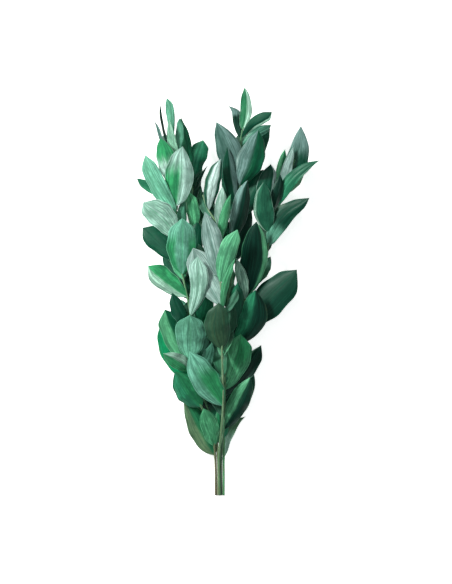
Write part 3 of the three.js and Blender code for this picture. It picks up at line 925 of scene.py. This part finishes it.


# How strong a bloom is at a place on the blade, for each part of a leaf that it may lie on. The
# bloom is partly a painted highlight, on the part of a leaf that catches the light.
BLOOM_AND_HIGHLIGHT_PARTS = {
    "none": lambda u, v: 0 * u,
    "even": lambda u, v: 0 * u + EVEN_BLOOM_AND_HIGHLIGHT,
    "base": lambda u, v: 1 - smooth_step(0.25, 0.8, u),
    "low": lambda u, v: 1 - smooth_step(0.12, 0.5, u),
    "tip": lambda u, v: smooth_step(0.35, 0.85, u),
    "point": lambda u, v: smooth_step(0.6, 0.82, u),
    "left": lambda u, v: 1 - smooth_step(-0.55, 0.25, v),
    "right": lambda u, v: smooth_step(-0.25, 0.55, v),
    "middle": lambda u, v: 1 - smooth_step(0.25, 0.8, np.abs(v)),
    "leftrim": lambda u, v: 1 - smooth_step(-0.9, -0.6, v),
    "rightrim": lambda u, v: smooth_step(0.45, 0.75, v),
}


def bloom_and_highlight_mask(parts, u, v):
    """Where the bloom, partly a painted highlight, lies: on one part of the leaf, or a little weaker
    on several.
    """
    masks = [BLOOM_AND_HIGHLIGHT_PARTS[part](u, v) for part in parts.split("+")]
    return np.clip(np.maximum.reduce(masks) * (JOINED_BLOOM_AND_HIGHLIGHT if len(masks) > 1 else 1), 0, 1)


def fine_blade(leaf, number, u, v, draw, blade):
    """One leaf as points and the values that its colours are mixed from."""
    points = blade_points(leaf, u, v, draw, blade)
    dye, bloom_and_highlight, parts = leaf["look"].split()
    tint = drawn(draw, TINT)
    place = np.stack([u, v, 0 * u + number], -1).reshape(-1, 3)
    # Where the bloom lies on the leaf, partly as a painted highlight.
    mask = bloom_and_highlight_mask(parts, u, v).ravel()
    return {
        "points": points,
        "place": np.concatenate([place, place]),
        "bloom_and_highlight": np.concatenate([mask, mask * UNDER_BLOOM_AND_HIGHLIGHT]),
        "under": np.repeat([0.0, 1.0], u.size),
        "dye": np.tile([*(c * tint for c in linear(DYES[dye])), 1.0], (len(points), 1)),
        "light": np.tile([*linear(BLOOM_AND_HIGHLIGHT_COLOURS[bloom_and_highlight]), 1.0], (len(points), 1)),
    }


def build_leaves(stem):
    """Fine blades in the places of the leaves of the stem's solid, as one piece."""
    blade = bpy.context.scene.ruscus_blade
    draw = seeded_random(stem["seed"] + BLADE_SEED)
    u, v = blade_grid(blade)
    blades = [fine_blade(leaf, i, u, v, draw, blade) for i, leaf in enumerate(leaves_of(stem))]
    one = grid_faces(*u.shape)
    faces = np.concatenate([one + i * 2 * u.size for i in range(len(blades))])
    points = np.concatenate([b["points"] for b in blades])
    piece = smooth_object(stem["name"] + "_leaves", points, faces.tolist(), [leaf_material()])
    for name, kind in BLADE_VALUES.items():
        add_values(piece.data, "blade_" + name, kind, np.concatenate([b[name] for b in blades]))
    attach(piece, stem["name"])


# ---- woody stems, in millimetres -------------------------------------------------------------

WOOD_SIDES = 14
WOOD_STEP = 2.5
WOOD_FLOOR_GAP = 0.02
BARK_SHARE = 1.12

# Ridges along the bark, and how far their wave moves on in each millimetre, in radians.
RIDGES = 6
RIDGE_HEIGHT = 0.07
RIDGE_TURN = 0.004

# The swelling where a leaf grows, and the most that leaves close together add up to.
NODE_SWELL = 0.35
NODE_LENGTH = 1.8
NODE_MOST = 1.2

# The pith in the cut end: its share of the radius at the rim and at its sunken floor.
PITH_SHARE = 0.72
PITH_FLOOR_SHARE = 0.62
PITH_DEPTH = 0.25

# Where the dye of the foot gives way to the dye of the stem, as shares of its length.
FOOT_DYE_ENDS = (0.05, 0.3)


def leaf_joints(stem):
    """Places along the stem at which its leaves grow."""
    first, last, step, _ = stem["rear"]
    return [row[0] for row in stem["leaves"] + stem["props"]] + list(range(first, last + 1, step))


def bark_ring(stem, y, angles, joints):
    """Points around the bark at one place along the stem."""
    along = axis_direction(stem, y)
    side = unit(np.cross(along, [0, 0, 1]))
    up = np.cross(side, along)
    swell = sum(math.exp(-(((y - joint) / NODE_LENGTH) ** 2)) for joint in joints)
    radius = BARK_SHARE * stem_radius(stem, y) + NODE_SWELL * min(swell, NODE_MOST)
    radii = radius + RIDGE_HEIGHT * np.cos(RIDGES * angles + RIDGE_TURN * y)
    ring = np.outer(radii * np.cos(angles), side) + np.outer(radii * np.sin(angles), up)
    return axis_point(stem, y) + ring


def wood_points(stem):
    """The rings of the bark, the rim and floor of the pith, its middle and the stem's tip.

    Gives the points, the place of each one around and along the stem, and the number of rings.
    """
    last = stem["route"][-1][0]
    joints = leaf_joints(stem)
    stations = np.linspace(0, last, round(last / WOOD_STEP) + 1)
    angles = 2 * np.pi * np.arange(WOOD_SIDES) / WOOD_SIDES
    rings = [bark_ring(stem, y, angles, joints) for y in stations]
    around = np.stack([np.cos(angles), np.sin(angles), 0 * angles], -1)
    places = [around + [0, 0, y / last] for y in stations]
    foot, foot_along = axis_point(stem, 0), axis_direction(stem, 0)
    middle = foot + foot_along * PITH_DEPTH
    rim = foot + (rings[0] - foot) * PITH_SHARE
    floor = foot + (rings[0] - foot) * PITH_FLOOR_SHARE + foot_along * PITH_DEPTH
    top = axis_point(stem, last) + axis_direction(stem, last) * STEM_RADIUS_TIP
    points = np.concatenate([*rings, rim, floor, [middle, top]])
    points[:, 2] = np.maximum(points[:, 2], WOOD_FLOOR_GAP)
    places = np.concatenate([*places, places[0], places[0], [[0, 0, 0], [0, 0, 1]]])
    return points, places, len(stations)


def wood_faces(rings):
    """Faces of the bark, whose tip is closed to a point, and faces of the cut end."""
    ring = np.arange(rings * WOOD_SIDES).reshape(rings, WOOD_SIDES)
    after = np.roll(ring, -1, axis=1)
    rim, floor = ring.size, ring.size + WOOD_SIDES
    middle, top = floor + WOOD_SIDES, floor + WOOD_SIDES + 1
    bark = np.stack([ring[:-1], ring[1:], after[1:], after[:-1]], -1).reshape(-1, 4).tolist()
    bark += [[b, a, top] for a, b in zip(ring[-1].tolist(), after[-1].tolist())]
    cut = []
    for a, b in zip(ring[0].tolist(), after[0].tolist()):
        cut.append([a, b, rim + b, rim + a])
        cut.append([rim + a, rim + b, floor + b, floor + a])
        cut.append([floor + a, floor + b, middle])
    return bark, cut


def build_wood(stem):
    """The stem as a ridged tube that swells where a leaf grows, cut off at the foot."""
    points, places, rings = wood_points(stem)
    bark, cut = wood_faces(rings)
    materials = [wood_material(), pith_material()]
    piece = smooth_object(stem["name"] + "_wood", points, bark + cut, materials)
    piece.data.polygons.foreach_set("material_index", [0] * len(bark) + [1] * len(cut))
    foot_dye, tip_dye = (np.array(linear(code)) for code in stem["wood"])
    share = smooth_step(*FOOT_DYE_ENDS, places[:, 2:3])
    dyes = foot_dye * (1 - share) + tip_dye * share
    add_values(piece.data, "wood_place", VECTOR, places)
    add_values(piece.data, "wood_dye", COLOUR, np.hstack([dyes, np.ones((len(dyes), 1))]))
    attach(piece, stem["name"])


# ---- materials -------------------------------------------------------------------------------

# The sockets of a Mix node that hold its two colours and their mix.
MIX_A, MIX_B, MIX_RESULT = 6, 7, 2

# Noise: how close it lies along each part of a place, where it starts, its detail and roughness,
# and the value in its middle.
# A leaf's place is the share along it, the share across it and the leaf's number. A stem's place is
# the way out from its axis and the share along it.
NOISE_MIDDLE = 0.5
LEAF_PATTERNS = {
    "streak": ((1.6, 4.0, 3.7), (0, 0, 0), 3.0, 0.6),
    "fine": ((2.6, 15.0, 5.3), (7, 0, 0), 2.0, 0.6),
    "cloud": ((3.2, 1.6, 2.1), (0, 0, 9), 3.0, 0.55),
    "crinkle": ((14.0, 5.0, 3.3), (0, 5, 0), 4.0, 0.65),
    "course": ((0.8, 6.0, 2.9), (3, 0, 0), 1.0, 0.5),
}
BARK_STREAK = ((3.5, 3.5, 6.0), (0, 0, 0), 3.0, 0.6)
BARK_PATCH = ((1.2, 1.2, 30.0), (5, 0, 0), 2.0, 0.6)
PITH_GRAIN = ((9.0, 9.0, 9.0), (0, 0, 0), 3.0, 0.7)
FLOOR_SPECKLE = ((60, 60, 60), (0, 0, 0), 3.0, 0.5)

# Where a mark on a leaf begins and where it is whole, in a pattern or from the midrib to the edge,
# and for shades and breaks, the least and the most that they leave of what is beneath them.
# Where the bloom, partly a painted highlight, begins and where it is whole.
BLOOM_AND_HIGHLIGHT_ENDS = (0.08, 0.95)
FINE_SHADES = (0.3, 0.7, 0.8, 1.17)
CRINKLE_SHADES = (0.3, 0.7, 0.84, 1.14)
PLAIN_PATCHES = (0.4, 0.62)
VEIN_ENDS, VEIN_BREAKS = (0.085, 0.01), (0.3, 0.65, 0.35, 0.85)
# Painted shade: a dark line just inside the edge of each leaf.
EDGE_SHADE_INNER, EDGE_SHADE_OUTER = (0.8, 0.9), (0.96, 0.92)
# Painted highlight: a thin pale rim along the edge of each leaf.
RIM_HIGHLIGHT_ENDS = (0.93, 0.97)
MIDRIB_ENDS = (0.05, 0.0)
DRY_PATCHES, DRY_EDGE = (0.58, 0.72), (0.8, 1.0)

# How far each mark covers the colour beneath it, and the greens that deepen or dull it. The dark
# line inside the edge is painted shade, and the pale rim a painted highlight.
DEEP_SHARE, DEEP_GREEN = 0.38, (0.0, 0.03, 0.02, 1)
VEIN_SHARE, VEIN_GREEN = 0.65, (0.006, 0.075, 0.045, 1)
EDGE_SHADE_SHARE, EDGE_SHADE_GREEN = 0.3, (0.0, 0.02, 0.014, 1)
UNDER_SHARE, UNDER_GREEN = 0.3, (0.07, 0.16, 0.1, 1)
RIM_HIGHLIGHT_SHARE = 0.26
MIDRIB_SHARE = 0.5
DRY_SHARE = 0.25

# Gloss and relief of a leaf: how far its roughness varies and rises on the underside, how much each
# pattern adds to its relief, and the depth of that, in metres, and its strength.
FINE_ENDS = (0.3, 0.7)
SMOOTHER, ROUGHER, UNDER_ROUGHER = 0.07, 0.1, 0.12
LEAF_RELIEF = {"streak": 0.6, "fine": 0.5, "vein": -0.3, "crinkle": 0.5}
LEAF_BUMP = (0.0005, 0.42)
LEAF_GLOSS = {
    "Specular IOR Level": 0.2,
    "Specular Tint": (0.72, 1, 0.88, 1),
    "Sheen Roughness": 0.45,
    "Sheen Tint": (0.8, 0.95, 0.93, 1),
    "Coat Roughness": 0.28,
}

# Bark and pith: their colours, how far they cover the dye, where they begin and where they are
# whole in a pattern, and their relief.
BARK_DARK_SHARE, BARK_DARK, BARK_DARK_ENDS = 0.45, (0.01, 0.03, 0.015, 1), (0.35, 0.65)
BARK_PALE_SHARE, BARK_PALE, BARK_PALE_ENDS = 0.5, (0.55, 0.62, 0.42, 1), (0.55, 0.75)
BARK_DRY_SHARE, BARK_DRY_ENDS = 0.5, (0.42, 0.3)
BARK_ROUGHNESS = (0.3, 0.7, 0.5, 0.68)
BARK_BUMP = (0.0003, 0.5)
PITH_DARK, PITH_DARK_ENDS = 0.5, (0.35, 0.65)
PITH_ROUGHNESS = (0.3, 0.7, 0.75, 0.92)
PITH_BUMP = (0.0002, 0.6)


class Desk:
    """Adds nodes to one material and links them."""

    def __init__(self, name):
        self.material = bpy.data.materials.new(name)
        self.material.use_nodes = True
        self.tree = self.material.node_tree

    def put(self, node, key, value):
        """Links a value from another node, or sets a plain one on the node's own socket."""
        if isinstance(value, bpy.types.NodeSocket):
            self.tree.links.new(value, node.inputs[key])
        else:
            node.inputs[key].default_value = value

    def node(self, kind, inputs=(), **settings):
        """A new node with its settings and inputs."""
        node = self.tree.nodes.new("ShaderNode" + kind)
        for name, value in settings.items():
            setattr(node, name, value)
        for key, value in dict(inputs).items():
            self.put(node, key, value)
        return node

    def shade(self, inputs):
        """Gives the shader its inputs, and hands over the material."""
        for key, value in inputs.items():
            self.put(self.tree.nodes["Principled BSDF"], key, value)
        return self.material

    def math(self, operation, a, b=0.0):
        """One step of arithmetic."""
        return self.node("Math", {0: a, 1: b}, operation=operation).outputs[0]

    def times(self, a, b):
        """Product of two values."""
        return self.math("MULTIPLY", a, b)

    def plus(self, a, b):
        """Sum of two values."""
        return self.math("ADD", a, b)

    def total(self, *parts):
        """Sum of several values, each times its weight."""
        return reduce(self.plus, [self.times(value, weight) for value, weight in parts])

    def apart(self, value, middle):
        """How far a value lies from the middle, to either side."""
        return self.math("ABSOLUTE", self.math("SUBTRACT", value, middle))

    def mix(self, share, a, b, blend="MIX"):
        """Colour a with a share of colour b."""
        inputs = {0: share, MIX_A: a, MIX_B: b}
        return self.node("Mix", inputs, data_type="RGBA", blend_type=blend).outputs[MIX_RESULT]

    def grey(self, value):
        """A value as a colour."""
        return self.node("CombineXYZ", {0: value, 1: value, 2: value}).outputs[0]

    def ramp(self, value, low, high, to_low=0.0, to_high=1.0):
        """Goes smoothly from one value at low to the other at high."""
        inputs = {0: value, 1: low, 2: high, 3: to_low, 4: to_high}
        return self.node("MapRange", inputs, interpolation_type="SMOOTHSTEP").outputs[0]

    def attribute(self, name, output):
        """A value that the mesh keeps for its points."""
        return self.node("Attribute", attribute_name=name).outputs[output]

    def pattern(self, place, sizes, shift, detail, roughness):
        """Noise over a place, each part of which is scaled so that it runs along the piece."""
        spot = self.node("VectorMath", {0: place, 1: sizes, 2: shift}, operation="MULTIPLY_ADD")
        inputs = {"Vector": spot.outputs[0], "Scale": 1.0, "Detail": detail, "Roughness": roughness}
        return self.node("TexNoise", inputs).outputs[0]

    def bump(self, height, distance, strength):
        """Fine relief from a height, with the distance in metres."""
        inputs = {"Height": height, "Distance": distance, "Strength": strength}
        return self.node("Bump", inputs).outputs[0]


def leaf_values(desk):
    """What a leaf's colours are mixed from: the mesh's values and the patterns over them."""
    place = desk.attribute("blade_place", "Vector")
    leaf = SimpleNamespace(
        under=desk.attribute("blade_under", "Fac"),
        # The bloom's strength and its pale colour (light): partly a painted highlight.
        bloom_and_highlight=desk.attribute("blade_bloom_and_highlight", "Fac"),
        dye=desk.attribute("blade_dye", "Color"),
        light=desk.attribute("blade_light", "Color"),
        beside=desk.math("ABSOLUTE", desk.node("SeparateXYZ", {0: place}).outputs[1]),
        **{name: desk.pattern(place, *noise) for name, noise in LEAF_PATTERNS.items()},
    )
    vein = desk.ramp(desk.apart(leaf.course, NOISE_MIDDLE), *VEIN_ENDS)
    leaf.vein = desk.times(vein, desk.ramp(leaf.cloud, *VEIN_BREAKS))
    return leaf


def dyed_leaf(desk, leaf):
    """The dye under its bloom, which is partly a painted highlight, with fine and crinkled shades and
    deeper patches.
    """
    vary = desk.total((leaf.streak, 0.5), (leaf.cloud, 0.5))
    # The bloom, partly a painted highlight, varied by the streaks and clouds.
    bloom_and_highlight = desk.plus(leaf.bloom_and_highlight, desk.math("SUBTRACT", vary, NOISE_MIDDLE))
    colour = desk.mix(desk.ramp(bloom_and_highlight, *BLOOM_AND_HIGHLIGHT_ENDS), leaf.dye, leaf.light)
    for pattern, shades in ((leaf.fine, FINE_SHADES), (leaf.crinkle, CRINKLE_SHADES)):
        colour = desk.mix(1.0, colour, desk.grey(desk.ramp(pattern, *shades)), "MULTIPLY")
    deep = desk.mix(DEEP_SHARE, colour, DEEP_GREEN)
    return desk.mix(desk.ramp(leaf.cloud, *PLAIN_PATCHES), deep, colour)


def marked_leaf(desk, leaf, colour, brown):
    """The leaf's colour with its marks, the first one lowest, among them a line of painted shade
    inside the edge and a pale rim of painted highlight, and duller on the underside.
    """
    # Painted shade: a dark line just inside the edge.
    edge_shade = desk.times(desk.ramp(leaf.beside, *EDGE_SHADE_INNER), desk.ramp(leaf.beside, *EDGE_SHADE_OUTER))
    dry = desk.times(desk.ramp(leaf.cloud, *DRY_PATCHES), desk.ramp(leaf.beside, *DRY_EDGE))
    marks = [
        (leaf.vein, VEIN_SHARE, VEIN_GREEN),
        (edge_shade, EDGE_SHADE_SHARE, EDGE_SHADE_GREEN),
        # Painted highlight: the pale rim, in the bloom's colour.
        (desk.ramp(leaf.beside, *RIM_HIGHLIGHT_ENDS), RIM_HIGHLIGHT_SHARE, leaf.light),
        (desk.ramp(leaf.beside, *MIDRIB_ENDS), MIDRIB_SHARE, leaf.dye),
        (dry, DRY_SHARE, brown),
    ]
    for mark, share, tint in marks:
        colour = desk.mix(desk.times(mark, share), colour, tint)
    return desk.mix(leaf.under, colour, desk.mix(UNDER_SHARE, colour, UNDER_GREEN))


@cache
def leaf_material():
    """Satin leaf: dye under a streaky pale bloom that is partly painted highlight, lengthwise veins,
    a thin pale rim of painted highlight and a line of painted shade just inside it.
    """
    finish = bpy.context.scene.ruscus_finish
    desk = Desk("ruscus_leaf")
    leaf = leaf_values(desk)
    colour = marked_leaf(desk, leaf, dyed_leaf(desk, leaf), (*finish.brown, 1))
    roughness = (finish.roughness - SMOOTHER, finish.roughness + ROUGHER)
    upper = desk.ramp(leaf.fine, *FINE_ENDS, *roughness)
    height = desk.total(*((getattr(leaf, name), share) for name, share in LEAF_RELIEF.items()))
    return desk.shade(
        {
            "Base Color": colour,
            "Roughness": desk.plus(upper, desk.times(leaf.under, UNDER_ROUGHER)),
            "Normal": desk.bump(height, *LEAF_BUMP),
            "Sheen Weight": finish.sheen,
            "Coat Weight": finish.coat,
            **LEAF_GLOSS,
        }
    )


@cache
def wood_material():
    """Thin green bark with lengthwise streaks and faint dry patches."""
    brown = (*bpy.context.scene.ruscus_finish.brown, 1)
    desk = Desk("ruscus_bark")
    place = desk.attribute("wood_place", "Vector")
    dye = desk.attribute("wood_dye", "Color")
    streak, patch = desk.pattern(place, *BARK_STREAK), desk.pattern(place, *BARK_PATCH)
    dark = desk.mix(BARK_DARK_SHARE, dye, BARK_DARK)
    pale = desk.mix(BARK_PALE_SHARE, dye, BARK_PALE)
    colour = desk.mix(desk.ramp(streak, *BARK_DARK_ENDS), dark, dye)
    colour = desk.mix(desk.ramp(patch, *BARK_PALE_ENDS), colour, pale)
    dry = desk.times(desk.ramp(patch, *BARK_DRY_ENDS), BARK_DRY_SHARE)
    return desk.shade(
        {
            "Base Color": desk.mix(dry, colour, brown),
            "Roughness": desk.ramp(streak, *BARK_ROUGHNESS),
            "Normal": desk.bump(streak, *BARK_BUMP),
        }
    )


@cache
def pith_material():
    """Cut face of a stem: pale, fibrous pith."""
    pith = bpy.context.scene.ruscus_finish.pith
    desk = Desk("ruscus_pith")
    grain = desk.pattern(desk.attribute("wood_place", "Vector"), *PITH_GRAIN)
    dark = tuple(c * PITH_DARK for c in pith)
    return desk.shade(
        {
            "Base Color": desk.mix(desk.ramp(grain, *PITH_DARK_ENDS), (*dark, 1), (*pith, 1)),
            "Roughness": desk.ramp(grain, *PITH_ROUGHNESS),
            "Normal": desk.bump(grain, *PITH_BUMP),
        }
    )


# ---- stage, in metres ------------------------------------------------------------------------

FLOOR_REACH = 8.0
FLOOR_DROP = 0.0003
FLOOR_DARK = 0.985
FLOOR_ROUGHNESS = 0.9

# For each soft light: its place, the spot that it faces, its size, its share of the key light's
# power and its colour.
SOFTBOXES = {
    "key_softbox": ((-1.6, 1.2, 1.9), (0, 0, 0.05), 0.7, 1.0, (1, 0.985, 0.96)),
    "top_softbox": ((0.2, 0.1, 3.0), (0, 0, 0), 2.0, 0.2, (0.96, 0.98, 1)),
}
ROOM_COLOUR = (0.97, 0.99, 1, 1)
WHITE = (1, 1, 1, 1)

# The camera's sensor in millimetres, how far it sees, and how far it stands from the middle.
SENSOR = 36.0
CAMERA_SIGHT = 50
CAMERA_SHIFT_X, CAMERA_SHIFT_Y = -0.001, 0.0006


def floor_material(stage):
    """Pale, dull floor that glows a little, so that shadows on it stay faint."""
    desk = Desk("pale_floor")
    speckle = desk.pattern(desk.node("TexCoord").outputs["Object"], *FLOOR_SPECKLE)
    dark = tuple(c * FLOOR_DARK for c in stage.floor)
    return desk.shade(
        {
            "Base Color": desk.mix(speckle, (*dark, 1), (*stage.floor, 1)),
            "Roughness": FLOOR_ROUGHNESS,
            "Emission Color": WHITE,
            "Emission Strength": stage.glow,
        }
    )


def build_floor(stage):
    """A wide floor, a hair below the bunch."""
    mesh = bpy.data.meshes.new("floor")
    corners = [(-1, -1), (1, -1), (1, 1), (-1, 1)]
    points = [(x * FLOOR_REACH, y * FLOOR_REACH, -FLOOR_DROP) for x, y in corners]
    mesh.from_pydata(points, [], [(0, 1, 2, 3)])
    mesh.materials.append(floor_material(stage))
    add_object("floor", mesh)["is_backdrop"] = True


def add_softbox(name, place, target, size, power, colour):
    """A round, soft light that faces its target."""
    lamp = bpy.data.lights.new(name, "AREA")
    lamp.shape = "DISK"
    lamp.size = size
    lamp.energy = power
    lamp.color = colour
    softbox = add_object(name, lamp)
    softbox.location = place
    softbox.rotation_euler = (Vector(target) - Vector(place)).to_track_quat("-Z", "Y").to_euler()


def light_world(strength):
    """Dim light from all around, in front of a white backdrop."""
    world = bpy.data.worlds.new("studio")
    world.use_nodes = True
    tree = world.node_tree
    around = tree.nodes["Background"]
    around.inputs["Color"].default_value = ROOM_COLOUR
    around.inputs["Strength"].default_value = strength
    backdrop = tree.nodes.new("ShaderNodeBackground")
    backdrop.inputs["Color"].default_value = WHITE
    path = tree.nodes.new("ShaderNodeLightPath")
    choose = tree.nodes.new("ShaderNodeMixShader")
    tree.links.new(path.outputs["Is Camera Ray"], choose.inputs[0])
    tree.links.new(around.outputs[0], choose.inputs[1])
    tree.links.new(backdrop.outputs[0], choose.inputs[2])
    tree.links.new(choose.outputs[0], tree.nodes["World Output"].inputs[0])
    bpy.context.scene.world = world


def build_camera(stage):
    """Looks straight down, with the tips of the bunch at the top of the view."""
    low, high = CAD_BOX
    data = bpy.data.cameras.new("camera")
    data.sensor_width = SENSOR
    data.lens = SENSOR * stage.camera_height / stage.frame_height
    data.clip_end = CAMERA_SIGHT
    camera = add_object("camera", data)
    camera.location = (
        (low.x + high.x) / 2 + CAMERA_SHIFT_X,
        (low.y + high.y) / 2 + CAMERA_SHIFT_Y,
        (low.z + high.z) / 2 + stage.camera_height,
    )
    bpy.context.scene.camera = camera


# ---- operators and panel ---------------------------------------------------------------------

STEM_ITEMS = [(stem["name"], stem["name"].replace("_", " "), "One leafy stem") for stem in STEMS]


class RUSCUS_OT_grow_wood(bpy.types.Operator):
    """Grow the woody part of one stem"""

    bl_idname = "ruscus.grow_wood"
    bl_label = "Grow Wood"
    stem: EnumProperty(name="Stem", description="Stem to build", items=STEM_ITEMS)

    def execute(self, context):
        build_wood(STEM_OF[self.stem])
        return {"FINISHED"}


class RUSCUS_OT_grow_leaves(bpy.types.Operator):
    """Grow the fine leaves of one stem"""

    bl_idname = "ruscus.grow_leaves"
    bl_label = "Grow Leaves"
    stem: EnumProperty(name="Stem", description="Stem that the leaves grow on", items=STEM_ITEMS)

    def execute(self, context):
        build_leaves(STEM_OF[self.stem])
        return {"FINISHED"}


class RUSCUS_OT_make_stage(bpy.types.Operator):
    """Make the floor, the lights and the camera"""

    bl_idname = "ruscus.make_stage"
    bl_label = "Make Stage"

    def execute(self, context):
        stage = context.scene.ruscus_stage
        build_floor(stage)
        for name, (place, target, size, share, colour) in SOFTBOXES.items():
            add_softbox(name, place, target, size, stage.key * share, colour)
        light_world(stage.fill)
        build_camera(stage)
        context.scene.view_settings.view_transform = "Standard"
        return {"FINISHED"}


class RUSCUS_PT_bunch(bpy.types.Panel):
    """Lists the steps that build the bunch"""

    bl_idname = "RUSCUS_PT_bunch"
    bl_label = "Dried Ruscus Bunch"
    bl_space_type = "VIEW_3D"
    bl_region_type = "UI"
    bl_category = "Ruscus"

    def draw(self, context):
        layout = self.layout
        for operator in OPERATORS:
            layout.operator(operator.bl_idname)
        for name, settings in SETTINGS.items():
            box = layout.box()
            for value in settings.__annotations__:
                box.prop(getattr(context.scene, name), value)


OPERATORS = [RUSCUS_OT_grow_wood, RUSCUS_OT_grow_leaves, RUSCUS_OT_make_stage]
SETTINGS = {
    "ruscus_blade": RuscusBladeSettings,
    "ruscus_finish": RuscusFinishSettings,
    "ruscus_stage": RuscusStageSettings,
}
CLASSES = [*SETTINGS.values(), *OPERATORS, RUSCUS_PT_bunch]


def register():
    """Adds the classes, and one group of settings of each kind to the scene."""
    for cls in CLASSES:
        bpy.utils.register_class(cls)
    for name, group in SETTINGS.items():
        setattr(bpy.types.Scene, name, PointerProperty(type=group))


def unregister():
    """Takes away what register added."""
    for name in SETTINGS:
        delattr(bpy.types.Scene, name)
    for cls in reversed(CLASSES):
        bpy.utils.unregister_class(cls)


def main():
    """Builds the bunch and its stage."""
    register()
    for stem in STEMS:
        bpy.ops.ruscus.grow_wood(stem=stem["name"])
        bpy.ops.ruscus.grow_leaves(stem=stem["name"])
    bpy.ops.ruscus.make_stage()
    boxes = {"cad": CAD_BOX, "visual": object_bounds()}
    {name: [list(corner) for corner in box] for name, box in boxes.items()}


if __name__ == "__main__":
    main()
